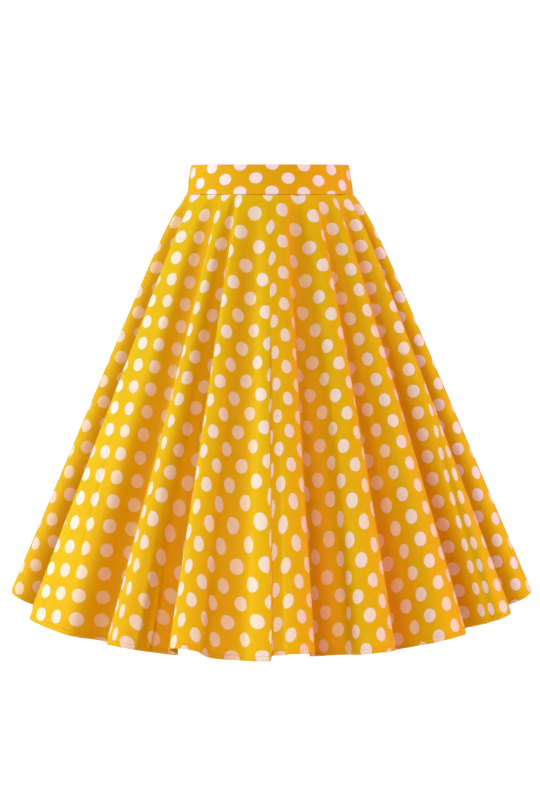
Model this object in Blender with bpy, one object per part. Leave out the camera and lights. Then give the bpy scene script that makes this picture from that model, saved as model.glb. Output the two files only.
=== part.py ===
"""High-waisted circle skirt in its worn, hollow form, with a concealed zip at the centre back.

Metres, +Z up. The origin is the centre of the waist opening, level with the waistband's top
edge. The front faces -Y and the wearer's left is +X. Azimuths run round the body from the
centre front (0) through the wearer's left (90) to the centre back (180).
"""

import math
from collections import namedtuple

import bmesh
import bpy
import numpy as np

for leftover in list(bpy.data.objects):
    bpy.data.objects.remove(leftover, do_unlink=True)

# Driving sizes, in metres.
WAIST_HALF_WIDTH = 0.1190  # waistband's top edge: an oval of 66 cm round
WAIST_HALF_DEPTH = 0.0895
SEAM_HALF_WIDTH = 0.1268  # waist seam: an oval of 70 cm round
SEAM_HALF_DEPTH = 0.0951
BAND_HEIGHT = 0.0430
SKIRT_LENGTH = 0.6640  # along the cloth from the waist seam to the hem
FLARE = 0.2700  # how much wider each side is at the hem than at the waist seam
HIP_SWELL = 0.0130  # extra width just below the waist seam
HIP_SWELL_SHARE = 0.05  # share of the length over which most of that extra width comes
CLOTH_WALL = 0.0018  # thickness that stands for the cloth
SEAM_GAP = 0.0003  # space left between pieces that are sewn together

# Fold growth: shares of a fold's full depth, against the share of the length below its start.
FOLD_ONSET = 0.05
FOLD_DEPTH_AT_ONSET = 0.10
FOLD_STEEPNESS_AT_ONSET = 0.35

# Concealed zip at the centre back.
ZIP_LENGTH_BELOW_SEAM = 0.150
TAPE_WIDTH = 0.0120
TAPE_THICKNESS = 0.0008
TAPE_CLEARANCE = 0.0007  # from the cloth's inner face
TAPE_HALF_OPENING = 0.0012  # from the seam line to each tape's edge
SLIDER_LENGTH = 0.0092
SLIDER_TOP_WIDTH = 0.0074
SLIDER_FOOT_WIDTH = 0.0058
SLIDER_THICKNESS = 0.0020
SLIDER_CENTRE_DROP = 0.0075  # below the waistband's top edge
BRIDGE_WIDTH = 0.0019
BRIDGE_HALF_LENGTH = 0.0032
BRIDGE_RISE = 0.0038
BRIDGE_THICKNESS = 0.0008
PIVOT_RISE = 0.0015  # pull tab's axis above the slider's outer face
PULL_LENGTH = 0.0225
PULL_THICKNESS = 0.0010
PULL_HEAD_WIDTH = 0.0048
PULL_TAIL_WIDTH = 0.0062
PULL_EYE_WIDTH = 0.0028
PULL_EYE_DROP = 0.0040  # from the pivot to the eye's lower edge
PULL_BAR = 0.0010  # thickness of the bar that passes under the bridge

PULL_TOP_ABOVE_PIVOT = 0.0010

# Mesh density.
SKIRT_COLUMNS_PER_FLANK = 4
SKIRT_LEVELS = (0.0, 0.025, 0.06, 0.11, 0.18, 0.27, 0.38, 0.50, 0.63, 0.76, 0.88, 1.0)
BAND_COLUMNS_PER_FLANK = 2
BAND_LEVELS = (0.0, 0.5, 1.0)
TAPE_LEVELS_ON_BAND = (0.03, 0.5, 1.0)
TAPE_LEVELS_ON_SKIRT = (0.0, 0.025, 0.06, 0.11, 0.18, ZIP_LENGTH_BELOW_SEAM / SKIRT_LENGTH)
ARC_STEPS = 9
SHARP_ANGLE = math.radians(40)  # edges that turn by more are shaded sharp
PROBE = 1e-4  # short step along a surface, from which its slope is taken

# One row for each ridge or valley line of the skirt, going round from the right side seam
# through the front. waist and hem are its azimuths in degrees there, depth is how far in it
# lies from the skirt's outer form at the hem in millimetres, start is the share of the length
# at which it begins, and steep shapes the flank up to the next row: 1 stands straight out
# from the body, and more than 1 leans over.
Fold = namedtuple("Fold", "waist hem depth start steep")
FOLDS = (
    Fold(-89.0, -87.0, 74, 0.00, 1.1),
    Fold(-78.0, -76.5, 4, 0.00, 1.0),
    Fold(-66.0, -67.0, 78, 0.00, 1.3),
    Fold(-56.0, -58.0, 2, 0.00, 0.2),
    Fold(-46.0, -48.0, 7, 0.00, 0.9),
    Fold(-37.5, -39.5, 58, 0.00, 1.3),
    Fold(-28.5, -31.0, 8, 0.00, 0.9),
    Fold(-23.5, -23.5, 52, 0.00, 1.3),
    Fold(-18.0, -17.0, 6, 0.00, 0.7),
    Fold(-9.5, -9.5, 34, 0.02, 0.5),
    Fold(-1.5, -0.8, 4, 0.05, 1.8),
    Fold(1.5, 1.2, 14, 0.28, 0.6),
    Fold(5.0, 4.8, 7, 0.05, 1.2),
    Fold(15.0, 13.0, 62, 0.00, 0.9),
    Fold(27.0, 21.6, 4, 0.00, 1.3),
    Fold(34.0, 29.5, 60, 0.00, 0.8),
    Fold(43.0, 39.5, 4, 0.00, 1.3),
    Fold(52.0, 49.0, 66, 0.00, 0.9),
    Fold(61.0, 57.5, 2, 0.00, 1.3),
    Fold(70.0, 67.0, 74, 0.00, 1.0),
    Fold(79.0, 77.0, 0, 0.00, 1.1),
    Fold(89.0, 87.0, 78, 0.00, 1.0),
    Fold(97.0, 95.5, 4, 0.00, 1.0),
    Fold(105.0, 104.0, 70, 0.00, 0.9),
    Fold(114.0, 113.5, 6, 0.00, 0.3),
    Fold(120.0, 121.0, 2, 0.00, 1.2),
    Fold(129.0, 130.5, 88, 0.00, 1.0),
    Fold(138.0, 138.5, 8, 0.00, 0.8),
    Fold(144.5, 146.0, 52, 0.02, 0.9),
    Fold(152.0, 152.5, 2, 0.00, 1.3),
    Fold(161.5, 161.0, 84, 0.00, 0.9),
    Fold(169.5, 168.5, 6, 0.02, 0.8),
    Fold(180.0, 180.0, 62, 0.06, 0.9),
    Fold(190.5, 190.0, 2, 0.02, 1.1),
    Fold(199.0, 199.5, 80, 0.00, 1.0),
    Fold(207.0, 207.0, 4, 0.00, 0.7),
    Fold(213.0, 214.0, 44, 0.02, 0.8),
    Fold(220.0, 221.0, 9, 0.00, 1.2),
    Fold(229.0, 230.5, 88, 0.00, 1.0),
    Fold(238.0, 238.5, 0, 0.00, 0.2),
    Fold(244.0, 245.0, 5, 0.00, 1.1),
    Fold(254.0, 254.0, 84, 0.00, 1.1),
    Fold(263.0, 264.0, 3, 0.00, 1.0),
    Fold(271.0, 273.0, 74, 0.00, 1.1),
)
RIGHT_SIDE_SEAM = 0
LEFT_SIDE_SEAM = 21
CENTRE_BACK_SEAM = 32
LAST_SEAM = len(FOLDS) - 1  # the right side seam again, after a full turn


def colour_to_linear(hex_colour):
    """Linear RGBA of an sRGB hex colour such as "f2b705"."""
    parts = [int(hex_colour[i : i + 2], 16) / 255 for i in (0, 2, 4)]
    linear = [c / 12.92 if c <= 0.04045 else ((c + 0.055) / 1.055) ** 2.4 for c in parts]
    return (*linear, 1.0)


def make_material(name, hex_colour, roughness, metallic):
    """Principled material of one colour."""
    material = bpy.data.materials.new(name)
    material.use_nodes = True
    shader = material.node_tree.nodes["Principled BSDF"]
    shader.inputs["Base Color"].default_value = colour_to_linear(hex_colour)
    shader.inputs["Roughness"].default_value = roughness
    shader.inputs["Metallic"].default_value = metallic
    material.diffuse_color = colour_to_linear(hex_colour)
    return material


def fold_column(name):
    """One column of the fold table as an array."""
    return np.array([getattr(fold, name) for fold in FOLDS], dtype=float)


FOLD_AT_WAIST = np.radians(fold_column("waist"))
FOLD_AT_HEM = np.radians(fold_column("hem"))
FOLD_DEPTH = fold_column("depth") / 1000
FOLD_START = fold_column("start")
FOLD_STEEP = fold_column("steep")


def growth(share, first):
    """Share of full size at a share of the way down: a quick onset to first, then a line."""
    return (1 - np.exp(-share / FOLD_ONSET)) * (first + (1 - first) * share)


def skirt_surface(place, level):
    """Outer face of the skirt.

    place counts along the fold table: a whole number is on that row's line, and a fraction
    is on the flank after it. level runs from 0 at the waist seam to 1 at the hem. Depth
    goes from line to line as half a cosine wave, and the azimuth runs back by a sine on a
    steep flank. Every line down the cloth has the cut length, so the valleys, which run out
    less, hang lower than the ridges.
    """
    place, level = np.broadcast_arrays(np.asarray(place, float), np.asarray(level, float))
    here = np.clip(np.floor(place).astype(int), 0, LAST_SEAM - 1)
    along = place - here

    def line_depth(index):
        share = np.clip((level - FOLD_START[index]) / (1 - FOLD_START[index]), 0, 1)
        return FOLD_DEPTH[index] * growth(share, FOLD_DEPTH_AT_ONSET)

    def line_azimuth(index):
        return FOLD_AT_WAIST[index] + (FOLD_AT_HEM[index] - FOLD_AT_WAIST[index]) * level

    ease = (1 - np.cos(math.pi * along)) / 2
    depth = line_depth(here) * (1 - ease) + line_depth(here + 1) * ease
    hem_depth = FOLD_DEPTH[here] * (1 - ease) + FOLD_DEPTH[here + 1] * ease
    steep = FOLD_STEEP[here] * growth(level, FOLD_STEEPNESS_AT_ONSET)
    turn = along + steep * np.sin(2 * math.pi * along) / (2 * math.pi)
    azimuth = line_azimuth(here) * (1 - turn) + line_azimuth(here + 1) * turn

    flare = FLARE * level + HIP_SWELL * (1 - np.exp(-level / HIP_SWELL_SHARE))
    run_at_hem = FLARE + HIP_SWELL - hem_depth
    drop = level * np.sqrt(SKIRT_LENGTH**2 - run_at_hem**2)
    return np.stack(
        [
            (SEAM_HALF_WIDTH + flare - depth) * np.sin(azimuth),
            -(SEAM_HALF_DEPTH + flare - depth) * np.cos(azimuth),
            -BAND_HEIGHT - SEAM_GAP - drop,
        ],
        axis=-1,
    )


def band_surface(place, level):
    """Outer face of the waistband: level 0 is its top edge and 1 its lower edge."""
    place, level = np.broadcast_arrays(np.asarray(place, float), np.asarray(level, float))
    azimuth = np.interp(place, np.arange(len(FOLDS)), FOLD_AT_WAIST)
    half_width = WAIST_HALF_WIDTH + (SEAM_HALF_WIDTH - WAIST_HALF_WIDTH) * level
    half_depth = WAIST_HALF_DEPTH + (SEAM_HALF_DEPTH - WAIST_HALF_DEPTH) * level
    return np.stack(
        [
            half_width * np.sin(azimuth),
            -half_depth * np.cos(azimuth),
            -BAND_HEIGHT * level,
        ],
        axis=-1,
    )


def moved_in(surface, place, level, distance):
    """The surface's points, each moved in square to the surface by a distance."""
    round_body = surface(place + PROBE, level) - surface(place - PROBE, level)
    upward = surface(place, level - PROBE) - surface(place, level + PROBE)
    outward = np.cross(round_body, upward)
    outward /= np.linalg.norm(outward, axis=-1, keepdims=True)
    return surface(place, level) - distance * outward


def wall_object(name, outer, inner, material):
    """Closed wall between two grids of points, outer and inner, each column by row.

    Columns go round the body towards the wearer's left as seen from above, and rows go down.
    """
    columns, rows = outer.shape[:2]
    points = np.concatenate([outer.reshape(-1, 3), inner.reshape(-1, 3)])
    number = np.arange(2 * columns * rows).reshape(2, columns, rows)
    out, into = number

    def quads(first, second, third, fourth):
        corners = np.stack([first, second, third, fourth], axis=-1)
        return corners.reshape(-1, 4).tolist()

    faces = quads(out[:-1, :-1], out[:-1, 1:], out[1:, 1:], out[1:, :-1])
    faces += quads(into[:-1, :-1], into[1:, :-1], into[1:, 1:], into[:-1, 1:])
    faces += quads(out[:-1, 0], out[1:, 0], into[1:, 0], into[:-1, 0])
    faces += quads(out[:-1, -1], into[:-1, -1], into[1:, -1], out[1:, -1])
    faces += quads(out[0, :-1], into[0, :-1], into[0, 1:], out[0, 1:])
    faces += quads(out[-1, :-1], out[-1, 1:], into[-1, 1:], into[-1, :-1])

    mesh = bpy.data.meshes.new(name)
    mesh.from_pydata(points.tolist(), [], faces)
    mesh.shade_smooth()
    mesh.set_sharp_from_angle(angle=SHARP_ANGLE)
    mesh.materials.append(material)
    piece = bpy.data.objects.new(name, mesh)
    bpy.context.scene.collection.objects.link(piece)
    return piece


def panel_places(first_seam, last_seam, columns_per_flank, level, surface):
    """Places of a panel's columns at one level, half a seam gap in from its two seams."""
    columns = (last_seam - first_seam) * columns_per_flank + 1
    places = np.linspace(first_seam, last_seam, columns)
    for end, side in ((0, 1), (-1, -1)):
        seam = places[end]
        stride = surface(seam + side * PROBE, level) - surface(seam, level)
        places[end] = seam + side * PROBE * SEAM_GAP / 2 / np.linalg.norm(stride)
    return places


def cloth_panel(name, surface, levels, columns_per_flank, seams, material):
    """Panel of cloth between two seams, as a wall of the cloth's thickness."""
    rows = [panel_places(*seams, columns_per_flank, level, surface) for level in levels]
    place = np.stack(rows, axis=1)
    level = np.broadcast_to(np.asarray(levels), place.shape)
    outer = surface(place, level)
    inner = moved_in(surface, place, level, CLOTH_WALL)
    return wall_object(name, outer, inner, material)


def zip_tape(name, side, material):
    """Tape on the cloth's inner face, beside the centre back seam, from the band down."""
    across = np.sort(side * (TAPE_HALF_OPENING + TAPE_WIDTH * np.array([0, 0.5, 1])))
    near = CLOTH_WALL + TAPE_CLEARANCE
    seam = float(CENTRE_BACK_SEAM)
    outer_rows = []
    inner_rows = []
    stretches = ((band_surface, TAPE_LEVELS_ON_BAND), (skirt_surface, TAPE_LEVELS_ON_SKIRT))
    for surface, levels in stretches:
        for level in levels:
            stride = np.linalg.norm(surface(seam + side * PROBE, level) - surface(seam, level))
            place = seam + across * PROBE / stride
            outer_rows.append(moved_in(surface, place, level, near))
            inner_rows.append(moved_in(surface, place, level, near + TAPE_THICKNESS))
    outer = np.stack(outer_rows, axis=1)
    inner = np.stack(inner_rows, axis=1)
    return wall_object(name, outer, inner, material)


def extruded(name, outline, low, high, axis):
    """Prism on a closed outline of two coordinates, from low to high along X or Z."""
    mesh = bpy.data.meshes.new(name)
    shape = bmesh.new()

    def corner(first, second, height):
        return (height, first, second) if axis == "X" else (first, second, height)

    ring = [shape.verts.new(corner(a, b, low)) for a, b in outline]
    floor = shape.faces.new(ring)
    roof = bmesh.ops.extrude_face_region(shape, geom=[floor])
    lifted = [v for v in roof["geom"] if isinstance(v, bmesh.types.BMVert)]
    shift = (high - low, 0, 0) if axis == "X" else (0, 0, high - low)
    bmesh.ops.translate(shape, verts=lifted, vec=shift)
    bmesh.ops.recalc_face_normals(shape, faces=shape.faces)
    shape.to_mesh(mesh)
    shape.free()
    piece = bpy.data.objects.new(name, mesh)
    bpy.context.scene.collection.objects.link(piece)
    return piece


def combine(piece, tool, operation):
    """Boolean of a piece with a hidden tool object that is parented to it."""
    tool.hide_render = True
    tool.display_type = "WIRE"
    tool.parent = piece
    boolean = piece.modifiers.new(tool.name, "BOOLEAN")
    boolean.operation = operation
    boolean.solver = "EXACT"
    boolean.object = tool


def drop_outline(head_width, tail_width, top, bottom):
    """Drop-shaped outline: two straight sides between a round head and a wider round tail."""
    head, tail = head_width / 2, tail_width / 2
    angles = np.linspace(0, math.pi, ARC_STEPS)
    upper = [(head * math.cos(a), top - head + head * math.sin(a)) for a in angles]
    lower = [(-tail * math.cos(a), bottom + tail - tail * math.sin(a)) for a in angles]
    return upper + lower


def zip_slider(material):
    """Slider body with a bridge over the pull tab's bar, flat on the band at the centre back.

    In the object's own frame the pivot is the origin, +Z points away from the cloth and +Y
    points up along it.
    """
    outer_face = -PIVOT_RISE
    half_length = SLIDER_LENGTH / 2
    head, foot = SLIDER_TOP_WIDTH / 2, SLIDER_FOOT_WIDTH / 2
    corner = SLIDER_TOP_WIDTH / 6
    body_outline = [
        (head - corner, half_length),
        (corner - head, half_length),
        (-head, half_length - corner),
        (-head, half_length / 3),
        (-foot, corner - half_length),
        (corner - foot, -half_length),
        (foot - corner, -half_length),
        (foot, corner - half_length),
        (head, half_length / 3),
        (head, half_length - corner),
    ]
    body = extruded(
        "zip_slider", body_outline, outer_face - SLIDER_THICKNESS, outer_face, axis="Z"
    )
    sunk_foot = -SLIDER_THICKNESS / 3
    outer_half = BRIDGE_HALF_LENGTH
    inner_half = BRIDGE_HALF_LENGTH - BRIDGE_THICKNESS
    inner_rise = BRIDGE_RISE - BRIDGE_THICKNESS
    angles = np.linspace(0, math.pi, ARC_STEPS)
    arch = [(outer_half * math.cos(a), BRIDGE_RISE * math.sin(a)) for a in angles]
    hollow = [(inner_half * math.cos(a), inner_rise * math.sin(a)) for a in angles[::-1]]
    left_foot = [(-outer_half, sunk_foot), (-inner_half, sunk_foot)]
    right_foot = [(inner_half, sunk_foot), (outer_half, sunk_foot)]
    bridge_outline = [(a, outer_face + b) for a, b in arch + left_foot + hollow + right_foot]
    half_bridge = BRIDGE_WIDTH / 2
    bridge = extruded("zip_slider_bridge", bridge_outline, -half_bridge, half_bridge, axis="X")
    combine(body, bridge, "UNION")
    body.data.materials.append(material)
    return body


def zip_pull(material):
    """Pull tab that hangs on the bridge by the bar above its eye; the pivot is its origin."""
    foot = PULL_TOP_ABOVE_PIVOT - PULL_LENGTH
    outline = drop_outline(PULL_HEAD_WIDTH, PULL_TAIL_WIDTH, PULL_TOP_ABOVE_PIVOT, foot)
    half_thick = PULL_THICKNESS / 2
    tab = extruded("zip_pull", outline, -half_thick, half_thick, axis="Z")
    half_eye = PULL_EYE_WIDTH / 2
    eye_outline = [
        (-half_eye, -PULL_BAR / 2),
        (-half_eye, -PULL_EYE_DROP),
        (half_eye, -PULL_EYE_DROP),
        (half_eye, -PULL_BAR / 2),
    ]
    eye = extruded("zip_pull_eye", eye_outline, -PULL_THICKNESS, PULL_THICKNESS, axis="Z")
    combine(tab, eye, "DIFFERENCE")
    tab.data.materials.append(material)
    return tab


def place_zip_hardware(slider, pull):
    """Slider flat on the band at the centre back, and the pull tab hanging plumb from it."""
    on_band = band_surface(float(CENTRE_BACK_SEAM), SLIDER_CENTRE_DROP / BAND_HEIGHT)
    lean = math.atan((SEAM_HALF_DEPTH - WAIST_HALF_DEPTH) / BAND_HEIGHT)
    rise = SEAM_GAP + SLIDER_THICKNESS + PIVOT_RISE
    pivot = on_band + rise * np.array([0, math.cos(lean), math.sin(lean)])
    slider.location = pivot
    slider.rotation_euler = (math.pi / 2 - lean, 0, math.pi)
    pull.location = pivot
    pull.rotation_euler = (math.pi / 2, 0, math.pi)


printed_cotton = make_material("printed cotton sateen", "efb317", 0.62, 0.0)
band_cotton = make_material("interfaced cotton sateen", "edb018", 0.60, 0.0)
zip_cloth = make_material("woven zip tape", "e0a91c", 0.75, 0.0)
zip_metal = make_material("lacquered zip metal", "d9a21a", 0.35, 0.6)

PANELS = {
    "front": (RIGHT_SIDE_SEAM, LEFT_SIDE_SEAM),
    "back_left": (LEFT_SIDE_SEAM, CENTRE_BACK_SEAM),
    "back_right": (CENTRE_BACK_SEAM, LAST_SEAM),
}
SKIRT_GRID = (skirt_surface, SKIRT_LEVELS, SKIRT_COLUMNS_PER_FLANK)
BAND_GRID = (band_surface, BAND_LEVELS, BAND_COLUMNS_PER_FLANK)
for panel, seams in PANELS.items():
    cloth_panel(f"skirt_{panel}", *SKIRT_GRID, seams, printed_cotton)
    cloth_panel(f"waistband_{panel}", *BAND_GRID, seams, band_cotton)
zip_tape("zip_tape_left", -1, zip_cloth)
zip_tape("zip_tape_right", 1, zip_cloth)
place_zip_hardware(zip_slider(zip_metal), zip_pull(zip_metal))
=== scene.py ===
"""Looks of the circle skirt: printed cotton panels, waistband, hem and concealed zip."""
import math

import bpy
import numpy as np
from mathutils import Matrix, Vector


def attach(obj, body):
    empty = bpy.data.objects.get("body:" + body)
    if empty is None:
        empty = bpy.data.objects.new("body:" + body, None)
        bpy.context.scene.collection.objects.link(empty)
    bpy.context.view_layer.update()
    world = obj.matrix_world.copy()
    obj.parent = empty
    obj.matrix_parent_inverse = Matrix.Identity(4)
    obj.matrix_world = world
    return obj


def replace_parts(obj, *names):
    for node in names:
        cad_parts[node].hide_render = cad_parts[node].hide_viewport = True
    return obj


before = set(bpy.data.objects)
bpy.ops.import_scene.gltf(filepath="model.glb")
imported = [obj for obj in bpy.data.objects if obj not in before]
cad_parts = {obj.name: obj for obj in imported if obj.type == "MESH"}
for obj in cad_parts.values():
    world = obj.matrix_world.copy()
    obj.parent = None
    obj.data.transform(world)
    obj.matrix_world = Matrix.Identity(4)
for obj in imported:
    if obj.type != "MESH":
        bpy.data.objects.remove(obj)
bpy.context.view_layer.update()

# ---------------------------------------------------------------------------------------
# Printed cotton sateen: a smooth, close-woven dress cotton, dyed golden yellow with round
# white dots. One print is used for every cloth piece, and each piece has its own place on
# it, given in metres by its UV map, as it lay flat on the cutting table.

DOT_PITCH = 0.046  # between dots of a row; every second row is half a pitch over
DOT_RADIUS = 0.0095
DOT_EDGE = 0.0005  # width over which the pigment's edge softens
DOT_WOBBLE = 0.0009  # by which the printed edge wanders
WOBBLE_SCALE = 160.0  # in waves of about 6 mm
CLOUD_TONES = (0.97, 1.03)  # the dye takes a little unevenly
CLOUD_SCALE = 9.0  # in clouds of about 11 cm
THREAD_SPACING = 0.0011  # drawn about four times as coarse as the real threads, to show
THREAD_RELIEF = 0.0001


def linear(hex_colour):
    """Linear RGBA of an sRGB hex colour."""
    parts = np.array([int(hex_colour[i : i + 2], 16) / 255 for i in (0, 2, 4)])
    low, high = parts / 12.92, ((parts + 0.055) / 1.055) ** 2.4
    return (*np.where(parts <= 0.04045, low, high).tolist(), 1.0)


def add_node(tree, kind, links=None, **settings):
    """Add a node; links and settings name its inputs by number or name, or its properties."""
    node = tree.nodes.new(kind)
    for key, value in settings.items():
        if hasattr(node, key):
            setattr(node, key, value)
        else:
            node.inputs[int(key[1:]) if key[1:].isdigit() else key].default_value = value
    for key, source in (links or {}).items():
        tree.links.new(source, node.inputs[key])
    return node


def new_material(name):
    """New node material, with its tree and its Principled shader."""
    material = bpy.data.materials.new(name)
    material.use_nodes = True
    tree = material.node_tree
    return material, tree, tree.nodes["Principled BSDF"]


def printed_cloth(name, ground_hex, dot_hex, shaded_ground_hex, shaded_dot_hex, roughness):
    """Dots of pigment on dyed cotton: the nearest dot centre of two offset square grids.

    Both colours turn towards a deeper orange by a point attribute of the mesh: painted shade at the
    bottom of the folds and on their flanks away from the key light.
    """
    material, tree, shader = new_material(name)
    uv = add_node(tree, "ShaderNodeUVMap", uv_map="print").outputs[0]
    wobble = add_node(tree, "ShaderNodeTexNoise", {"Vector": uv}, Scale=WOBBLE_SCALE, Detail=2.0)
    centred = add_node(tree, "ShaderNodeVectorMath", {0: wobble.outputs["Color"]},
                       operation="SUBTRACT", _1=(0.5, 0.5, 0.5))
    spread = add_node(tree, "ShaderNodeVectorMath", {0: centred.outputs[0]},
                      operation="SCALE", Scale=DOT_WOBBLE)
    place = add_node(tree, "ShaderNodeVectorMath", {0: uv, 1: spread.outputs[0]}, operation="ADD")
    distances = {}
    for grid in (0, 1):
        middle = grid / 2 + 0.5
        cell = add_node(tree, "ShaderNodeVectorMath", {0: place.outputs[0]},
                        operation="MULTIPLY_ADD",
                        _1=(1 / DOT_PITCH, 1 / DOT_PITCH, 0), _2=(middle, middle, 0))
        part = add_node(tree, "ShaderNodeVectorMath", {0: cell.outputs[0]}, operation="FRACTION")
        off = add_node(tree, "ShaderNodeVectorMath", {0: part.outputs[0]},
                       operation="SUBTRACT", _1=(0.5, 0.5, 0))
        away = add_node(tree, "ShaderNodeVectorMath", {0: off.outputs[0]}, operation="LENGTH")
        distances[grid] = away.outputs["Value"]
    nearest = add_node(tree, "ShaderNodeMath", distances, operation="MINIMUM")
    inside = (DOT_RADIUS - DOT_EDGE / 2) / DOT_PITCH
    outside = (DOT_RADIUS + DOT_EDGE / 2) / DOT_PITCH
    dot = add_node(tree, "ShaderNodeMapRange", {"Value": nearest.outputs[0]},
                   interpolation_type="SMOOTHSTEP", _1=inside, _2=outside, _3=1.0, _4=0.0)
    # Painted shade: the share by which ground and dots move to their shaded colours, read from the
    # mesh.
    painted_shade_amount = add_node(tree, "ShaderNodeAttribute", attribute_name="painted_fold_shade").outputs["Fac"]
    ground = add_node(tree, "ShaderNodeMix", {0: painted_shade_amount}, data_type="RGBA",
                      _6=linear(ground_hex), _7=linear(shaded_ground_hex))
    pigment = add_node(tree, "ShaderNodeMix", {0: painted_shade_amount}, data_type="RGBA",
                       _6=linear(dot_hex), _7=linear(shaded_dot_hex))
    cloudy = add_node(tree, "ShaderNodeTexNoise", {"Vector": uv}, Scale=CLOUD_SCALE, Detail=3.0)
    tone = add_node(tree, "ShaderNodeMapRange", {"Value": cloudy.outputs[0]},
                    _1=0.3, _2=0.7, _3=CLOUD_TONES[0], _4=CLOUD_TONES[1])
    dyed = add_node(tree, "ShaderNodeVectorMath", {0: ground.outputs[2], 3: tone.outputs[0]},
                    operation="SCALE")
    colour = add_node(tree, "ShaderNodeMix", data_type="RGBA",
                      links={0: dot.outputs[0], 6: dyed.outputs[0], 7: pigment.outputs[2]})
    tree.links.new(colour.outputs[2], shader.inputs["Base Color"])
    weft = add_node(tree, "ShaderNodeTexWave", {"Vector": uv}, bands_direction="DIAGONAL",
                    Scale=0.5 / THREAD_SPACING / math.pi, Distortion=0.6, Detail=1.0)
    bump = add_node(tree, "ShaderNodeBump", {"Height": weft.outputs["Fac"]},
                    Strength=0.6, Distance=THREAD_RELIEF)
    tree.links.new(bump.outputs[0], shader.inputs["Normal"])
    shader.inputs["Roughness"].default_value = roughness
    shader.inputs["Specular IOR Level"].default_value = 0.08
    shader.inputs["Sheen Weight"].default_value = 0.03
    shader.inputs["Sheen Roughness"].default_value = 0.4
    shader.inputs["Subsurface Weight"].default_value = 0.6
    shader.inputs["Subsurface Radius"].default_value = (1.0, 0.45, 0.05)
    shader.inputs["Subsurface Scale"].default_value = 0.003
    return material


# The sateen's face gives a clear yellow with a broad soft sheen, and light goes a little way
# through the thin cloth. Its second pair of colours, a deeper orange ground and salmon dots, is
# painted shade for the folds.
cloth_face = printed_cloth(
    "printed cotton sateen", "e7bc01", "fdeae4", "dda100", "eab88c", roughness=0.6)
# The band's copy of the print is darker and duller than the skirt's: painted shade, since the band
# faces the key light squarely.
shaded_band_face = printed_cloth(
    "band sateen with painted shade", "dfac01", "f2e0dc", "dda100", "eab88c", roughness=0.65)
# The pigment stays on the face, so from behind the dots are only faint and the cloth is matt. Its
# deeper pair is painted shade, as on the face.
cloth_back = printed_cloth(
    "back of the printed cotton", "dca82c", "e2cb94", "d08f10", "cf9a50", roughness=0.75)

# ---------------------------------------------------------------------------------------
# Skirt: a front and two back panels cut as parts of a ring, joined by plain seams. They
# hang from the waist seam in deep soft folds, and each ridge and each valley is one row of
# the table, going round from the right side seam through the front.

SEAM_HALF_WIDTH = 0.1268  # waist seam: an oval of 70 cm round
SEAM_HALF_DEPTH = 0.0951
BAND_HEIGHT = 0.0430
SKIRT_LENGTH = 0.6640  # along the cloth from the waist seam to the hem
FLARE = 0.2700  # how much wider each side is at the hem than at the waist seam
HIP_SWELL = 0.0130  # extra width just below the waist seam
HIP_SWELL_SHARE = 0.05  # level by which most of that extra width has come
FOLD_ONSET = 0.05  # level by which most of a fold's first share of depth or lean has come
FOLD_DEPTH_AT_ONSET = 0.16
FOLD_STEEPNESS_AT_ONSET = 0.35
SEAM_GAP = 0.0003  # between the waistband and the skirt
COLUMNS_PER_FLANK = 25

# Azimuth at the waist and at the hem in degrees, depth in mm, level where it starts,
# steepness of the flank up to the next line, and by how many mm its hem hangs lower.
FOLDS = np.array([
    (-89, -87, 74, 0, 1.1, 0), (-78, -76.5, 4, 0, 1.0, -4), (-66, -67, 78, 0, 1.3, 0),
    (-56, -58, 2, 0, 0.2, 5), (-46, -48, 7, 0, 0.9, 4), (-37.5, -39.5, 58, 0, 1.3, 0),
    (-28.5, -31, 8, 0, 0.9, 1), (-23.5, -23.5, 52, 0, 1.3, 0), (-18, -17, 6, 0, 0.7, -9),
    (-9.5, -9.5, 34, 0.02, 0.5, 0), (-1.0, -0.3, 5, 0.1, 1.6, 3), (1.3, 0.9, 13, 0.3, 0.8, -6),
    (5, 4.8, 7, 0.05, 1.2, -7), (15, 13, 62, 0, 0.9, -5), (27, 21.6, 4, 0, 1.3, 0),
    (34, 29.5, 60, 0, 0.8, -1), (43, 39.5, 4, 0, 1.3, -1), (52, 49, 66, 0, 0.9, -4),
    (61, 57.5, 2, 0, 1.3, -3), (70, 67, 74, 0, 1.0, 0), (79, 77, 0, 0, 1.1, -2),
    (89, 87, 78, 0, 1.0, 0), (97, 95.5, 4, 0, 1.0, 3), (105, 104, 70, 0, 0.9, -2),
    (114, 113.5, 6, 0, 0.3, -4), (120, 121, 2, 0, 1.2, 2), (129, 130.5, 88, 0, 1.0, 0),
    (138, 138.5, 8, 0, 0.8, 4), (144.5, 146, 52, 0.02, 0.9, -3), (152, 152.5, 2, 0, 1.3, -5),
    (161.5, 161, 84, 0, 0.9, 1), (169.5, 168.5, 6, 0.02, 0.8, 4), (180, 180, 62, 0.06, 0.9, 0),
    (190.5, 190, 2, 0.02, 1.1, -3), (199, 199.5, 80, 0, 1.0, 2), (207, 207, 4, 0, 0.7, 5),
    (213, 214, 44, 0.02, 0.8, -2), (220, 221, 9, 0, 1.2, -4), (229, 230.5, 88, 0, 1.0, 3),
    (238, 238.5, 0, 0, 0.2, 0), (244, 245, 5, 0, 1.1, -5), (254, 254, 84, 0, 1.1, 2),
    (263, 264, 3, 0, 1.0, 3), (271, 273, 74, 0, 1.1, 0),
], dtype=float)
AT_WAIST, AT_HEM = np.radians(FOLDS[:, 0]), np.radians(FOLDS[:, 1])
DEPTH, START, STEEP, LOWER = FOLDS[:, 2] / 1000, FOLDS[:, 3], FOLDS[:, 4], FOLDS[:, 5] / 1000
LEFT_SEAM, BACK_SEAM, LAST_SEAM = 21, 32, 43


def growth(share, first):
    """A quick rise to the first share of full size, then a straight line up to all of it."""
    return (1 - np.exp(-share / FOLD_ONSET)) * (first + (1 - first) * share)


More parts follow.
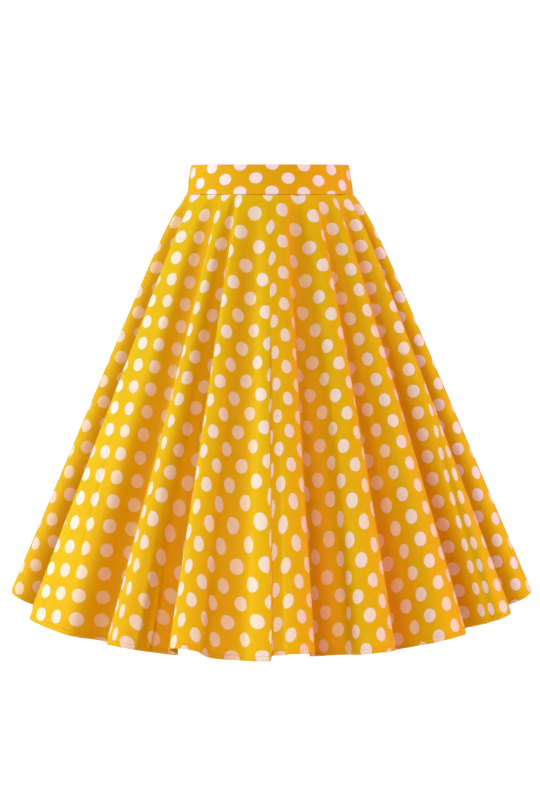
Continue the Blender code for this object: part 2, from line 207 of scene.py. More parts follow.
def between_lines(values, place):
    """A value given on each fold line, eased from line to line as half a cosine wave."""
    here = np.clip(np.floor(place).astype(int), 0, LAST_SEAM - 1)
    ease = (1 - np.cos(math.pi * (place - here))) / 2
    return values[here] * (1 - ease) + values[here + 1] * ease


def hung_cloth(place, level):
    """Face of the hanging cloth at a place along the fold table and a level down its length.

    From ridge to valley the depth eases as half a cosine wave, and the azimuth runs back by
    a sine on a steep flank. Each line down the cloth keeps its cut length.
    """
    place, level = np.broadcast_arrays(np.asarray(place, float), np.asarray(level, float))
    here = np.clip(np.floor(place).astype(int), 0, LAST_SEAM - 1)
    along = place - here

    def line_depth(index):
        share = np.clip((level - START[index]) / (1 - START[index]), 0, 1)
        return DEPTH[index] * growth(share, FOLD_DEPTH_AT_ONSET)

    def line_azimuth(index):
        return AT_WAIST[index] + (AT_HEM[index] - AT_WAIST[index]) * level

    ease = (1 - np.cos(math.pi * along)) / 2
    depth = line_depth(here) * (1 - ease) + line_depth(here + 1) * ease
    lean = STEEP[here] * growth(level, FOLD_STEEPNESS_AT_ONSET)
    turn = along + lean * np.sin(2 * math.pi * along) / (2 * math.pi)
    azimuth = line_azimuth(here) * (1 - turn) + line_azimuth(here + 1) * turn
    flare = FLARE * level + HIP_SWELL * (1 - np.exp(-level / HIP_SWELL_SHARE))
    reach = FLARE + HIP_SWELL - between_lines(DEPTH, place)
    drop = level * np.sqrt(SKIRT_LENGTH**2 - reach**2) + between_lines(LOWER, place) * level**3
    return np.stack([
        (SEAM_HALF_WIDTH + flare - depth) * np.sin(azimuth),
        -(SEAM_HALF_DEPTH + flare - depth) * np.cos(azimuth),
        -BAND_HEIGHT - SEAM_GAP - drop,
    ], axis=-1)


def outward(surface, place, level, step=1e-3):
    """Unit normal of a surface, from two short steps along and down it."""
    along = surface(place + step, level) - surface(place - step, level)
    up = surface(place, level - step) - surface(place, level + step)
    normal = np.cross(along, up)
    return normal / np.linalg.norm(normal, axis=-1, keepdims=True)


# Place and level where each small crease starts and where it ends, then half its width and
# its height in mm. A trough's height is negative.
CREASES = np.array([
    (3.60, 0.56, 3.98, 0.92, 4, -2.0), (3.84, 0.62, 4.10, 0.90, 5, 1.8),
    (6.22, 0.74, 6.38, 1.30, 4, 3.2), (6.60, 0.79, 6.72, 1.30, 4, 3.6),
    (17.80, 0.50, 17.66, 1.40, 6, -6.0), (6.50, -0.06, 6.80, 0.20, 5, 2.0),
    (13.36, -0.06, 13.02, 0.22, 6, -2.2), (17.30, -0.06, 17.00, 0.20, 6, -2.0),
    (3.26, 0.82, 3.46, 1.30, 7, -1.6), (8.36, 0.82, 8.26, 1.30, 8, 1.4),
    (13.38, 0.70, 13.30, 1.30, 9, -1.7), (15.56, 0.72, 15.42, 1.30, 9, 1.6),
    (9.46, 0.26, 9.60, 0.66, 9, -1.1), (1.40, -0.04, 1.30, 0.15, 5, 1.0),
    (10.60, -0.05, 10.55, 0.12, 6, -0.8), (19.40, -0.04, 19.60, 0.18, 6, 1.2),
    (22.60, -0.04, 22.80, 0.18, 6, 1.2), (24.40, 0.55, 24.60, 1.30, 7, -2.0),
    (25.50, -0.05, 25.20, 0.20, 6, -1.2), (26.40, 0.70, 26.50, 1.30, 5, 2.4),
    (28.30, 0.58, 28.50, 0.95, 5, -1.5), (29.50, 0.80, 29.60, 1.30, 6, 2.0),
    (30.50, -0.05, 30.30, 0.15, 6, 1.0), (33.50, -0.04, 33.60, 0.17, 6, 1.1),
    (33.40, 0.50, 33.60, 1.30, 6, -2.0), (35.30, 0.30, 35.20, 0.70, 8, 1.2),
    (36.50, 0.75, 36.40, 1.30, 6, 2.2), (37.60, 0.60, 37.40, 0.92, 5, -1.5),
    (39.50, -0.05, 39.30, 0.20, 6, -1.3), (40.40, 0.72, 40.50, 1.30, 6, -2.2),
    (41.60, 0.80, 41.70, 1.30, 5, 2.0),
])


def along_stride(surface, place, level, step=1e-3):
    """Metres of cloth along the surface for each unit of place."""
    stride = surface(place + step, level) - surface(place - step, level)
    return np.linalg.norm(stride, axis=-1) / (2 * step)


def laid_cloth(place, level):
    """The hung cloth with its small creases, moved out along its normal.

    A crease is a bell across its slanting line, and it eases in and out over a quarter of
    its length.
    """
    place, level = np.broadcast_arrays(np.asarray(place, float), np.asarray(level, float))
    metres = along_stride(hung_cloth, place, level)
    height = np.zeros(place.shape)
    for start, top, end, foot, half_width, rise in CREASES:
        share = np.clip((level - top) / (foot - top), 0, 1)
        away = (place - start - (end - start) * share) * metres / (half_width / 1000)
        fade = np.clip(np.minimum(share, 1 - share) * 4, 0, 1)
        height += rise / 1000 * np.exp(-(away**2)) * fade**2 * (3 - 2 * fade)
    return hung_cloth(place, level) + height[..., None] * outward(hung_cloth, place, level)


def shell(name, outer, inner, flat, materials):
    """Closed cloth shell between two grids of points, with the flat pattern as its UV map."""
    columns, rows = outer.shape[:2]
    points = np.concatenate([outer.reshape(-1, 3), inner.reshape(-1, 3)])
    out, into = np.arange(2 * columns * rows).reshape(2, columns, rows)

    def quads(*corners):
        return np.stack(corners, axis=-1).reshape(-1, 4)

    face = quads(out[:-1, :-1], out[:-1, 1:], out[1:, 1:], out[1:, :-1])
    back = quads(into[:-1, :-1], into[1:, :-1], into[1:, 1:], into[:-1, 1:])
    rims = np.concatenate([
        quads(out[:-1, 0], out[1:, 0], into[1:, 0], into[:-1, 0]),
        quads(out[:-1, -1], into[:-1, -1], into[1:, -1], out[1:, -1]),
        quads(out[0, :-1], into[0, :-1], into[0, 1:], out[0, 1:]),
        quads(out[-1, :-1], out[-1, 1:], into[-1, 1:], into[-1, :-1]),
    ])
    faces = np.concatenate([face, back, rims])
    mesh = bpy.data.meshes.new(name)
    mesh.from_pydata(points, [], faces.tolist())
    slots = np.zeros(len(faces), np.int32)
    slots[len(face) : len(face) + len(back)] = 1
    mesh.polygons.foreach_set("material_index", slots)
    corner_uv = np.tile(flat.reshape(-1, 2), (2, 1))[faces.ravel()]
    mesh.uv_layers.new(name="print").data.foreach_set("uv", corner_uv.astype(np.float32).ravel())
    for material in materials:
        mesh.materials.append(material)
    mesh.shade_smooth()
    mesh.set_sharp_from_angle(angle=math.radians(50))
    piece = bpy.data.objects.new(name, mesh)
    bpy.context.scene.collection.objects.link(piece)
    return piece


FLAT_RADIUS = 0.1395  # of the waist seam line on the cutting table

# How the print hangs on each of the front's fold lines: the line's angle on the cloth as
# cut, how far it turns from that over its length, both in degrees, then how far the cloth
# has dropped by the hem and how far it has slid up the line, both in mm. These rows, the
# drop's place and width, and the front's print shift are the result of a least-squares fit
# made outside this script. They are data, and aren't worked out from the design.
FRONT_HANG = np.array([
    (-81.5, -1.5, 9, 1), (-73.5, -2.1, 9, 1), (-65.2, -2.5, 10, 1), (-58.8, -0.6, 14, 0),
    (-53.5, -2.4, 12, -5), (-46.8, -6.2, 5, -11), (-33.4, -2.0, 11, -12), (-28.1, -2.4, 32, -11),
    (-18.7, 0.4, 22, -11), (-12.3, 0.4, 28, -21), (-6.6, -2.4, 33, -24), (-2.4, -1.6, 39, -11),
    (0.8, -3.2, 31, -9), (10.9, -1.5, 27, -17), (19.3, -2.3, 20, -7), (29.6, -1.2, 20, -4),
    (37.6, -1.4, 7, 0), (47.6, -1.2, 5, 0), (54.9, -1.6, 12, 6), (62.6, -0.3, 8, 6),
    (71.1, 1.8, 8, 6), (79.2, 1.2, 8, 5),
])
TURN_MIDDLE = 0.6  # level at which a line lies at its own angle
SLIDE_ONSET = 0.2
DROP_RADIUS, DROP_WIDTH = 0.626, 0.034  # where on the cut cloth the drop comes, and over what

# The crease beside ridge 18 takes in one more column of dots: its place down the length, half
# its width in places, and the step across the print that it swallows.
CREASE_LEVELS = (0.0, 0.38, 0.50, 0.60, 0.72, 1.0)
CREASE_PLACES = (18.7, 18.5, 17.98, 17.86, 17.77, 17.67)
CREASE_HALF_WIDTH = 0.2
TAKEN_IN = np.array([0.5, 0.5]) * DOT_PITCH


def arc_along(points):
    """Length along each level's ring of points, from the first column."""
    strides = np.linalg.norm(np.diff(points, axis=0), axis=-1)
    return np.concatenate([np.zeros((1, points.shape[1])), np.cumsum(strides, axis=0)])


def front_print(points, level, shift):
    """Place on the print of each point, between its two fold lines by its share of their arc.

    The drop comes along an S curve, the slide by a quick rise, and the crease's step by a
    cubic ease.
    """
    arc = arc_along(points)
    lines = arc[::COLUMNS_PER_FLANK]
    flank = np.minimum(np.arange(len(arc)) // COLUMNS_PER_FLANK, len(lines) - 2)
    share = (arc - lines[flank]) / (lines[flank + 1] - lines[flank])
    this_line, next_line = FRONT_HANG[flank][:, None, :], FRONT_HANG[flank + 1][:, None, :]
    hang = this_line * (1 - share)[..., None] + next_line * share[..., None]
    cut_angle, turned, drop, slide = np.moveaxis(hang, -1, 0)
    angle = np.radians(cut_angle + turned * (level - TURN_MIDDLE))
    radius = FLAT_RADIUS + level * SKIRT_LENGTH
    dropped = drop / (1 + np.exp(-(radius - DROP_RADIUS) / DROP_WIDTH))
    slid = slide * (1 - np.exp(-level / SLIDE_ONSET))
    radius = radius + (slid - dropped) / 1000
    past_crease = flank[:, None] + share - np.interp(level, CREASE_LEVELS, CREASE_PLACES)
    beyond = np.clip(past_crease / CREASE_HALF_WIDTH, -1, 1)
    taken = (2 + 3 * beyond - beyond**3)[..., None] / 4 * TAKEN_IN
    on_table = np.stack([radius * np.sin(angle), -radius * np.cos(angle)], axis=-1)
    return on_table + np.array(shift) + taken


def back_print(points, level, shift):
    """Place on the print of each point, by its arc from the centre back seam."""
    arc = arc_along(points)
    on_left = points[:, :, 0].mean() > 0
    from_seam = arc - (arc[-1] if on_left else arc[0])
    radius = FLAT_RADIUS + level * SKIRT_LENGTH
    angle = from_seam / radius
    return np.stack([radius * np.sin(angle), -radius * np.cos(angle)], axis=-1) + np.array(shift)


STITCH_LENGTH = 0.0026
THREAD_RADIUS = 0.00016
STITCH_ALONG = np.array([-0.43, -0.25, 0.0, 0.25, 0.43]) * STITCH_LENGTH  # one stitch's arch
STITCH_RISE = np.array([-0.9, 0.5, 1.0, 0.5, -0.9]) * THREAD_RADIUS


def tubes(name, lines, ups, radius, sides, material):
    """Closed tubes along lines of points, each ring square to its line and turned by its up."""
    tangent = np.gradient(lines, axis=1)
    tangent /= np.linalg.norm(tangent, axis=-1, keepdims=True)
    side = np.cross(ups, tangent)
    side /= np.linalg.norm(side, axis=-1, keepdims=True)
    up = np.cross(tangent, side)
    turns = np.arange(sides) * 2 * math.pi / sides
    circle = np.cos(turns)[:, None] * side[:, :, None] + np.sin(turns)[:, None] * up[:, :, None]
    rings = lines[:, :, None] + radius * circle
    index = np.arange(rings.size // 3).reshape(rings.shape[:3])
    following = np.roll(index, -1, axis=2)
    walls = [index[:, :-1], following[:, :-1], following[:, 1:], index[:, 1:]]
    walls = np.stack(walls, axis=-1).reshape(-1, 4)
    caps = np.concatenate([index[:, 0, ::-1], index[:, -1]])
    mesh = bpy.data.meshes.new(name)
    mesh.from_pydata(rings.reshape(-1, 3), [], walls.tolist() + caps.tolist())
    mesh.materials.append(material)
    mesh.shade_smooth()
    piece = bpy.data.objects.new(name, mesh)
    bpy.context.scene.collection.objects.link(piece)
    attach(piece, "skirt")
    return piece


def on_line(line, arc, distance):
    """Point of a line of points at each distance along its arc."""
    return np.stack([np.interp(distance, arc, line[:, axis]) for axis in range(3)], axis=-1)


def machine_stitches(name, face, back):
    """Rows of stitches along a line on the cloth's face and, half a stitch on, on its back."""
    arc = arc_along(face[:, None])[:, 0]
    count = int(arc[-1] / STITCH_LENGTH)
    middles = (np.arange(count) + 0.5) * arc[-1] / count
    lines, ups = [], []
    for line, side, middle in ((face, 1, middles), (back, -1, middles[:-1] + STITCH_LENGTH / 2)):
        distance = middle[:, None] + STITCH_ALONG
        up = side * on_line(face - back, arc, distance)
        up /= np.linalg.norm(up, axis=-1, keepdims=True)
        lines.append(on_line(line, arc, distance) + STITCH_RISE[:, None] * up)
        ups.append(up)
    piece = tubes(name, np.concatenate(lines), np.concatenate(ups), THREAD_RADIUS, 4, thread)
    return piece


NEAR_SEAM = np.array([0.006, 0.018, 0.05])  # places of the columns that crowd to a seam
NEAR_TOP = np.array([0, 0.5, 1.2, 2.5, 4.5]) / 1000  # metres of the rows below the waist seam
EVEN_LEVELS = np.linspace(0.0115, 0.9835, 60)  # of the rows between
NEAR_HEM = np.array([9, 8, 7.3, 6.5, 5.7, 4.5, 3, 1.8, 0.9, 0.3, 0]) / 1000  # above the hem
HEM_DEPTH = 0.0065  # turned up twice and machine stitched


def panel_grid(first, last):
    """Places and levels of a panel's grid, with columns crowded to its two seams."""
    places = np.linspace(first, last, (last - first) * COLUMNS_PER_FLANK + 1)
    places[1:4] = first + NEAR_SEAM
    places[-4:-1] = last - NEAR_SEAM[::-1]
    levels = np.concatenate([NEAR_TOP / SKIRT_LENGTH, EVEN_LEVELS, 1 - NEAR_HEM / SKIRT_LENGTH])
    return np.meshgrid(places, levels, indexing="ij")


CLOTH = 0.0005  # thickness of one layer
WAIST_DIP, WAIST_DIP_WIDTH = 0.0007, 0.0012  # the face's sink at the seam, and its reach
SEAM_DIP, SEAM_DIP_WIDTH = 0.0006, 0.0009
HEM_ROLL = 0.0013  # by which the fold at the hem turns in
DIMPLE, DIMPLE_WIDTH = 0.00025, 0.0009  # along the hem's stitching
TURNED_LAYERS = 1.6  # two layers, pressed, behind the first where the hem is turned up
TURN_EASE = 0.0002
FULL_SHADE_DEPTH = 0.052  # a fold this deep has its full painted shade
SHADE_SHIFT = 0.18  # of a flank, by which the painted shade leans to the side away from the key light
SHADE_ONSET = 0.07  # level by which most of the painted shade has come in


def skirt_panel(name, first, last, print_place, print_shift):
    """Panel of hung cloth; its UV map is the ring sector that it was cut as.

    The face dips into the waist seam and rolls in at the hem, and the back is one layer in,
    or three where the hem is turned up.
    """
    place, level = panel_grid(first, last)
    from_top = level * SKIRT_LENGTH
    from_hem = SKIRT_LENGTH - from_top
    waist_dip = WAIST_DIP * np.exp(-from_top / WAIST_DIP_WIDTH)
    roll = HEM_ROLL * np.clip(1 - from_hem / HEM_DEPTH, 0, 1) ** 2
    dimple = DIMPLE * np.exp(-(((from_hem - HEM_DEPTH) / DIMPLE_WIDTH) ** 2))
    above_turning = np.clip((from_hem - HEM_DEPTH) / TURN_EASE - 2, None, 50)
    turned = 1 / (1 + np.exp(above_turning))
    normal = outward(laid_cloth, place, level)
    base = laid_cloth(place, level)
    arc = arc_along(base)
    seam_dip = SEAM_DIP * np.exp(-np.minimum(arc, arc[-1] - arc) / SEAM_DIP_WIDTH)
    sunk = (waist_dip + roll + dimple + seam_dip)[..., None]
    thick = (CLOTH * (1 + TURNED_LAYERS * turned))[..., None]
    face, back = base - sunk * normal, base - (sunk + thick) * normal
    piece = shell(name, face, back, print_place(base, level, print_shift), [cloth_face, cloth_back])
    # Painted shade for the folds: the outer face darkens with the depth of its fold, and the inner
    # face the other way round.
    shaded = np.clip(place + SHADE_SHIFT, 0, LAST_SEAM)
    share = np.sqrt(between_lines(DEPTH, shaded) / FULL_SHADE_DEPTH * (1 - np.exp(-level / SHADE_ONSET)))
    painted_fold_shade = np.concatenate([share.ravel(), 1 - share.ravel()]).clip(0, 1).astype(np.float32)
    piece.data.attributes.new("painted_fold_shade", "FLOAT", "POINT").data.foreach_set("value", painted_fold_shade)
    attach(piece, "skirt")
    sewn = np.argmin(np.abs(from_hem[0] - HEM_DEPTH))
    stitches = machine_stitches(name.replace("panel", "hem_stitches"), face[:, sewn], back[:, sewn])
    return piece, stitches


# Tight round thread with a faint gloss, a shade deeper than the cloth.
thread, _, thread_shader = new_material("polyester sewing thread")
thread_shader.inputs["Base Color"].default_value = linear("d9a30c")
thread_shader.inputs["Roughness"].default_value = 0.45

front, front_stitches = skirt_panel(
    "front_panel", 0, LEFT_SEAM, front_print, (-0.0124, 0.0227))
back_left, back_left_stitches = skirt_panel(
    "back_left_panel", LEFT_SEAM, BACK_SEAM, back_print, (0.011, 0.009))
back_right, back_right_stitches = skirt_panel(
    "back_right_panel", BACK_SEAM, LAST_SEAM, back_print, (0.031, 0.018))
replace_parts(front, "skirt_front")
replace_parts(back_left, "skirt_back_left")
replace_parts(back_right, "skirt_back_right")

# ---------------------------------------------------------------------------------------
# Waistband: three contoured pieces of the same cloth over a firm fusible interfacing, each
# lined with a second cut of itself and joined to it along the top edge. The print runs
# across each as it was cut.

WAIST_HALF_WIDTH = 0.1190
WAIST_HALF_DEPTH = 0.0895
BAND_WALL = 0.0016  # two layers of cloth and the interfacing
BAND_FLAT_RADIUS = 0.7210  # the arc that the band's top edge was cut on
BAND_PRINT_WIDER = 48.3 / 46  # the cloth was pulled along the band as it was fused
BAND_PRINT_LOWER = 38.9 / 46
BAND_COLUMNS = 8  # for each step between fold lines
BAND_ROWS = np.array([
    0, 0.2, 0.6, 1.2, 2.5, 6, 11, 17, 23, 29, 35, 39, 41, 42, 42.5, 42.8, 43,
]) / 43
TOP_ROUNDING, TOP_ROUNDING_HEIGHT = 0.0008, 0.0012
FOOT_ROUNDING, FOOT_ROUNDING_HEIGHT = 0.0006, 0.0015


def band_surface(place, level):
    """Face of the band: a leaning oval ring, level 0 at its top edge and 1 at the seam."""
    place, level = np.broadcast_arrays(np.asarray(place, float), np.asarray(level, float))
    azimuth = np.interp(place, np.arange(len(FOLDS)), AT_WAIST)
    half_width = WAIST_HALF_WIDTH + (SEAM_HALF_WIDTH - WAIST_HALF_WIDTH) * level
    half_depth = WAIST_HALF_DEPTH + (SEAM_HALF_DEPTH - WAIST_HALF_DEPTH) * level
    across, forward = half_width * np.sin(azimuth), -half_depth * np.cos(azimuth)
    return np.stack([across, forward, -BAND_HEIGHT * level], axis=-1)


fine_places = np.linspace(0, LAST_SEAM, LAST_SEAM * 30 + 1)
band_arc = arc_along(band_surface(fine_places, 0.5)[:, None])[:, 0]  # round the band's middle


def band_panel(name, first, last, grain_place, print_shift, tilt):
    """Band piece with rounded top and lower edges; its UV map is the arc that it was cut on.

    The straight grain runs down it at the grain place, turned by the tilt in radians.
    """
    places = np.linspace(first, last, (last - first) * BAND_COLUMNS + 1)
    place, level = np.meshgrid(places, BAND_ROWS, indexing="ij")
    down = level * BAND_HEIGHT
    from_foot = BAND_HEIGHT - down
    round_top = TOP_ROUNDING * np.clip(1 - down / TOP_ROUNDING_HEIGHT, 0, 1) ** 2
    round_foot = FOOT_ROUNDING * np.clip(1 - from_foot / FOOT_ROUNDING_HEIGHT, 0, 1) ** 2
    normal = outward(band_surface, place, level)
    base = band_surface(place, level)
    outer = base - (round_top + round_foot)[..., None] * normal
    inner = base - (BAND_WALL - round_top)[..., None] * normal
    here, grain = (np.interp(at, fine_places, band_arc) for at in (place, grain_place))
    angle = (here - grain) / BAND_FLAT_RADIUS + tilt
    radius = BAND_FLAT_RADIUS + down
    flat_x = radius * np.sin(angle) / BAND_PRINT_WIDER
    flat_y = (BAND_FLAT_RADIUS - radius * np.cos(angle)) / BAND_PRINT_LOWER
    flat = np.stack([flat_x, flat_y], axis=-1) + np.array(print_shift)
    piece = shell(name, outer, inner, flat, [shaded_band_face, shaded_band_face])
    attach(piece, "skirt")
    return piece


band_front = band_panel("band_front", 0, LEFT_SEAM, 10.4, (0.0143, 0.0227), 0.008)
band_back_left = band_panel("band_back_left", LEFT_SEAM, BACK_SEAM, 32.0, (0.012, 0.006), 0.0)
band_back_right = band_panel("band_back_right", BACK_SEAM, LAST_SEAM, 32.0, (0.03, 0.014), 0.0)
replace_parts(band_front, "waistband_front")
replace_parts(band_back_left, "waistband_back_left")
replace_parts(band_back_right, "waistband_back_right")

# ---------------------------------------------------------------------------------------
# Concealed zip: two woven tapes sewn to the seam turnings inside the centre back, with a
# nylon coil on each edge, closed by a lacquered slider and ended by a metal crimp.

ZIP_LENGTH = BAND_HEIGHT + 0.150
TAPE_TOP = 0.0013  # below the band's top edge
TAPE_WIDTH = 0.0120
TAPE_HALF_OPENING = 0.0012  # from the seam line to each tape's edge
TAPE_THICKNESS = 0.0006
TAPE_BEHIND_BAND = 0.0018  # in from the face of the cloth
TAPE_BEHIND_CLOTH = 0.0007
SEAM_EASE = 0.016  # length over which the tape bends past the waist seam


def beside_seam(across, down, inward):
    """Point beside the centre back seam: across it, down the cloth, and in from its face.

    The normal eases from the band's to the skirt's over a short length about the waist seam.
    """
    across, down, inward = np.broadcast_arrays(across, down, inward)
    near = BACK_SEAM + np.sign(across) * 0.02
    ease = np.clip((down - BAND_HEIGHT) / SEAM_EASE + 0.5, 0, 1)
    ease = (ease**2 * (3 - 2 * ease))[..., None]
    on_band = np.clip(down / BAND_HEIGHT, 0, 1)
    below = np.clip((down - BAND_HEIGHT) / SKIRT_LENGTH, 0, 1)
    band_place = BACK_SEAM + across / along_stride(band_surface, near, on_band)
    cloth_place = BACK_SEAM + across / along_stride(hung_cloth, near, below)
    band, cloth = band_surface(band_place, on_band), hung_cloth(cloth_place, below)
    face = np.where((down < BAND_HEIGHT)[..., None], band, cloth)
    band_normal = outward(band_surface, band_place, on_band)
    cloth_normal = outward(hung_cloth, cloth_place, below)
    normal = band_normal * (1 - ease) + cloth_normal * ease
    return face - inward[..., None] * normal / np.linalg.norm(normal, axis=-1, keepdims=True)


def behind_cloth(down):
    """Distance in from the face to the tape: behind the band's two layers, then behind one."""
    seam = [BAND_HEIGHT - 0.001, BAND_HEIGHT + 0.006]
    return np.interp(down, seam, [TAPE_BEHIND_BAND, TAPE_BEHIND_CLOTH])


# A matt twill of fine ribs, each a little lighter along its crown.
RIB_SPACING = 0.0009
woven_tape, tape_tree, tape_shader = new_material("woven polyester tape")
tape_uv = add_node(tape_tree, "ShaderNodeUVMap", uv_map="print")
tape_rib = add_node(tape_tree, "ShaderNodeTexWave", {"Vector": tape_uv.outputs[0]},
                    bands_direction="DIAGONAL",
                    Scale=0.5 / RIB_SPACING / math.pi, Distortion=0.5, Detail=1.0)
tape_tone = add_node(tape_tree, "ShaderNodeMix", {0: tape_rib.outputs["Fac"]}, data_type="RGBA",
                     _6=linear("cf9a1a"), _7=linear("e2b032"))
tape_tree.links.new(tape_tone.outputs[2], tape_shader.inputs["Base Color"])
tape_bump = add_node(tape_tree, "ShaderNodeBump", {"Height": tape_rib.outputs["Fac"]},
                     Strength=0.5, Distance=THREAD_RELIEF)
tape_tree.links.new(tape_bump.outputs[0], tape_shader.inputs["Normal"])
tape_shader.inputs["Roughness"].default_value = 0.8
tape_shader.inputs["Sheen Weight"].default_value = 0.1

TAPE_COLUMNS = TAPE_WIDTH * np.array([0, 0.03, 0.12, 0.3, 0.5, 0.7, 0.88, 0.97, 1])
TAPE_ROWS = np.concatenate([
    np.linspace(TAPE_TOP, BAND_HEIGHT - 0.009, 20),
    np.linspace(BAND_HEIGHT - 0.008, ZIP_LENGTH, 110),  # closer, for the bend at the waist seam
])
SELVAGE = 0.0004  # width over which each edge of the tape is rounded


def zip_tape(name, side):
    """Woven tape along one side of the seam, thinning to a rounded selvage at both edges."""
    columns = np.sort(side * (TAPE_HALF_OPENING + TAPE_COLUMNS))
    across, down = np.meshgrid(columns, TAPE_ROWS, indexing="ij")
    from_near_edge = abs(across) - TAPE_HALF_OPENING
    from_edge = np.minimum(from_near_edge, TAPE_WIDTH - from_near_edge)
    thin = 0.5 * np.clip(1 - from_edge / SELVAGE, 0, 1) ** 2 * TAPE_THICKNESS
    near = behind_cloth(down)
    outer = beside_seam(across, down, near + thin / 2)
    inner = beside_seam(across, down, near + TAPE_THICKNESS - thin / 2)
    piece = shell(name, outer, inner, np.stack([across, down], axis=-1), [woven_tape, woven_tape])
    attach(piece, "skirt")
    return piece


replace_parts(zip_tape("left_zip_tape", -1), "zip_tape_left")
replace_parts(zip_tape("right_zip_tape", 1), "zip_tape_right")

COIL_PITCH = 0.0015
COIL_RADIUS = 0.00017
COIL_HALF_WIDTH = 0.0013
COIL_HALF_THICKNESS = 0.0006
COIL_CENTRE = 0.00095  # across from the seam line, so that the two halves lock by their tips
COIL_TOP, COIL_END = 0.0125, 0.1900
COIL_STEPS = 12  # in each turn

# A smooth, slightly glassy filament.
nylon, _, nylon_shader = new_material("dyed nylon monofilament")
nylon_shader.inputs["Base Color"].default_value = linear("d8a018")
nylon_shader.inputs["Roughness"].default_value = 0.3


def zip_coil(name, side):
    """Helix of filament down one tape's edge, flattened against the tape."""
    steps = np.arange(0, (COIL_END - COIL_TOP) / COIL_PITCH * COIL_STEPS + 1)
    turn = steps * 2 * math.pi / COIL_STEPS
    down = COIL_TOP + COIL_PITCH * turn / (2 * math.pi)
    middle = behind_cloth(down) + TAPE_THICKNESS + COIL_HALF_THICKNESS + COIL_RADIUS * 1.3
    across = side * COIL_CENTRE + COIL_HALF_WIDTH * np.cos(turn)
    line = beside_seam(across, down, middle + COIL_HALF_THICKNESS * np.sin(turn))
    along = beside_seam(across, down + 1e-4, middle) - beside_seam(across, down, middle)
    piece = tubes(name, line[None], along[None], COIL_RADIUS, 5, nylon)
    return piece


zip_coil("left_zip_coil", -1)
zip_coil("right_zip_coil", 1)

# The casting is dipped in yellow lacquer, which lies unevenly over grains of about 1 mm and
# gives a broken, satin highlight.
METAL_GRAIN_SCALE = 900.0
METAL_RELIEF = 0.00005
lacquered_metal, metal_tree, metal_shader = new_material("lacquered zinc alloy")
metal_place = add_node(metal_tree, "ShaderNodeTexCoord").outputs["Object"]
metal_noise = add_node(metal_tree, "ShaderNodeTexNoise", {"Vector": metal_place},
                       Scale=METAL_GRAIN_SCALE, Detail=3.0)
metal_grain = metal_noise.outputs[0]
metal_tone = add_node(metal_tree, "ShaderNodeMix", {0: metal_grain}, data_type="RGBA",
                      _6=linear("c98f0e"), _7=linear("e0aa22"))
metal_tree.links.new(metal_tone.outputs[2], metal_shader.inputs["Base Color"])
metal_gloss = add_node(metal_tree, "ShaderNodeMapRange", {"Value": metal_grain}, _3=0.28, _4=0.42)
metal_tree.links.new(metal_gloss.outputs[0], metal_shader.inputs["Roughness"])
metal_dents = add_node(metal_tree, "ShaderNodeBump", {"Height": metal_grain},
                       Strength=0.2, Distance=METAL_RELIEF)
metal_tree.links.new(metal_dents.outputs[0], metal_shader.inputs["Normal"])
metal_shader.inputs["Metallic"].default_value = 0.6
metal_shader.inputs["Coat Weight"].default_value = 0.5
metal_shader.inputs["Coat Roughness"].default_value = 0.15
for node_name in ("zip_slider", "zip_pull"):
    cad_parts[node_name].material_slots[0].material = lacquered_metal

CRIMP_HALF_SIZE = np.array([0.0026, 0.0011, 0.0011])  # across, down and in from the face
CRIMP_CENTRE = 0.1912  # down from the band's top edge
CRIMP_SQUARENESS = 0.45  # 1 is an ellipsoid, 0 a box
CRIMP_SIDES = 24


def rounded_power(value, power):
    """The sign of a value times its size raised to a power."""
    return np.sign(value) * abs(value) ** power


def bottom_stop():
    """Crimp closed about both coils: a superellipsoid of two angles, its poles single points."""
    around = np.arange(CRIMP_SIDES) * 2 * math.pi / CRIMP_SIDES
    up = np.linspace(-math.pi / 2, math.pi / 2, CRIMP_SIDES // 2 + 1)[1:-1]
    ring = rounded_power(np.cos(up), CRIMP_SQUARENESS)[:, None]
    height = rounded_power(np.sin(up), CRIMP_SQUARENESS)[:, None]
    unit = np.stack([
        ring * rounded_power(np.cos(around), CRIMP_SQUARENESS),
        ring * rounded_power(np.sin(around), CRIMP_SQUARENESS),
        np.broadcast_to(height, (len(up), CRIMP_SIDES)),
    ], axis=-1).reshape(-1, 3)
    unit = np.concatenate([unit, [(0, 0, -1), (0, 0, 1)]]) * CRIMP_HALF_SIZE
    middle = behind_cloth(CRIMP_CENTRE) + TAPE_THICKNESS + COIL_HALF_THICKNESS + COIL_RADIUS
    across = unit[:, 0] + 1e-7  # off the seam line, which has a side of cloth for each sign
    points = beside_seam(across, CRIMP_CENTRE + unit[:, 1], middle + unit[:, 2])
    index = np.arange(len(unit) - 2).reshape(len(up), CRIMP_SIDES)
    following = np.roll(index, -1, axis=1)
    walls = np.stack([index[:-1], index[1:], following[1:], following[:-1]], axis=-1).reshape(-1, 4)
    south, north = np.full(CRIMP_SIDES, len(unit) - 2), np.full(CRIMP_SIDES, len(unit) - 1)
    caps = np.concatenate([
        np.stack([south, index[0], following[0]], axis=-1),
        np.stack([north, following[-1], index[-1]], axis=-1),
    ])
    mesh = bpy.data.meshes.new("zip_bottom_stop")
    mesh.from_pydata(points, [], walls.tolist() + caps.tolist())
    mesh.materials.append(lacquered_metal)
    mesh.shade_smooth()
    piece = bpy.data.objects.new("zip_bottom_stop", mesh)
    bpy.context.scene.collection.objects.link(piece)
    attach(piece, "skirt")


bottom_stop()

# ---------------------------------------------------------------------------------------
# Studio: a pale floor as far below the hem as on a wearer and a white surround, lit by large
# soft lights: a cool key from the front left, a warm one from the front right that browns the
# shaded flanks, a cool one and a warm one at the two sides, and a faint one from below.

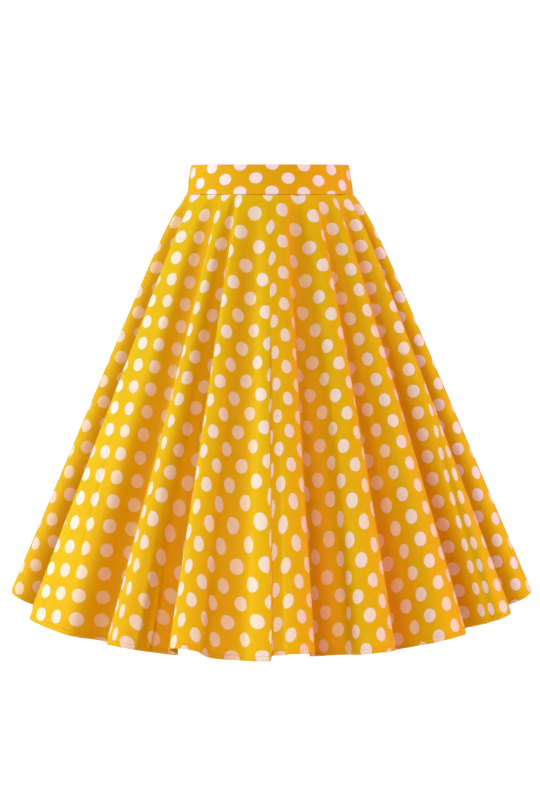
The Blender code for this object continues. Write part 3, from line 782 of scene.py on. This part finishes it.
FLOOR_LEVEL = -1.13
FLOOR_REACH = 6.0
SEEN_WHITE = 1.1  # strength of the plain white that the camera sees all round
floor_mesh = bpy.data.meshes.new("studio_floor")
corners = FLOOR_REACH * np.array([(-1, -1, 0), (1, -1, 0), (1, 1, 0), (-1, 1, 0)])
floor_mesh.from_pydata(corners + (0, 0, FLOOR_LEVEL), [], [(0, 1, 2, 3)])
floor = bpy.data.objects.new("studio_floor", floor_mesh)
bpy.context.scene.collection.objects.link(floor)
# Matt paint that spreads the light on it evenly, and that the camera sees as plain white.
floor_paint, floor_tree, floor_shader = new_material("matt white paint")
floor_shader.inputs["Base Color"].default_value = linear("b8b8b8")
floor_shader.inputs["Roughness"].default_value = 0.9
glow = add_node(floor_tree, "ShaderNodeEmission", Color=(1, 1, 1, 1), Strength=SEEN_WHITE)
direct = add_node(floor_tree, "ShaderNodeLightPath").outputs["Is Camera Ray"]
plain = add_node(floor_tree, "ShaderNodeMixShader",
                 {0: direct, 1: floor_shader.outputs[0], 2: glow.outputs[0]})
floor_tree.links.new(plain.outputs[0], floor_tree.nodes["Material Output"].inputs["Surface"])
floor_mesh.materials.append(floor_paint)

world = bpy.data.worlds.new("white surround")
bpy.context.scene.world = world
world.use_nodes = True
sky = world.node_tree
background = sky.nodes["Background"]
background.inputs["Color"].default_value = (1, 0.9, 0.95, 1)
background.inputs["Strength"].default_value = 0.37
seen = add_node(sky, "ShaderNodeBackground", Color=(1, 1, 1, 1), Strength=SEEN_WHITE)
straight = add_node(sky, "ShaderNodeLightPath").outputs["Is Camera Ray"]
both = add_node(sky, "ShaderNodeMixShader",
                {0: straight, 1: background.outputs[0], 2: seen.outputs[0]})
sky.links.new(both.outputs[0], sky.nodes["World Output"].inputs["Surface"])


def soft_light(name, place, aim, size, watts, colour):
    """Square area light at a place, turned to face a point."""
    lamp = bpy.data.lights.new(name, "AREA")
    lamp.size, lamp.energy, lamp.color = size, watts, colour
    light = bpy.data.objects.new(name, lamp)
    light.location = place
    light.rotation_euler = (Vector(aim) - Vector(place)).to_track_quat("-Z", "Y").to_euler()
    light.visible_camera = False
    bpy.context.scene.collection.objects.link(light)


MIDDLE = (0, 0, -0.35)
soft_light("key", (-1.2, -3.0, 0.5), MIDDLE, 1.0, 34, (0.88, 1, 0.97))
soft_light("front right", (1.2, -3.0, 0.5), MIDDLE, 1.0, 18, (1, 0.68, 0.82))
soft_light("left side", (-3.0, -0.6, 0.3), MIDDLE, 1.6, 58, (0.93, 1, 0.93))
soft_light("right side", (3.0, -0.6, 0.3), MIDDLE, 1.6, 54, (1, 0.62, 0.58))
soft_light("below", (0.0, 0.0, -0.95), (0, 0, 0), 0.5, 1.5, (1, 0.85, 0.6))

CAMERA_PLACE = (0, -2.1153, -0.0191)  # level with the waistband, a little over 2 m in front
CAMERA_DOWN = 0.16331  # radians below the level
camera_data = bpy.data.cameras.new("camera")
camera_data.lens = 61.33
camera_data.sensor_width = 36
camera = bpy.data.objects.new("camera", camera_data)
camera.location = CAMERA_PLACE
camera.rotation_euler = (math.pi / 2 - CAMERA_DOWN, 0, 0)
bpy.context.scene.collection.objects.link(camera)
bpy.context.scene.camera = camera
bpy.context.scene.view_settings.view_transform = "Standard"
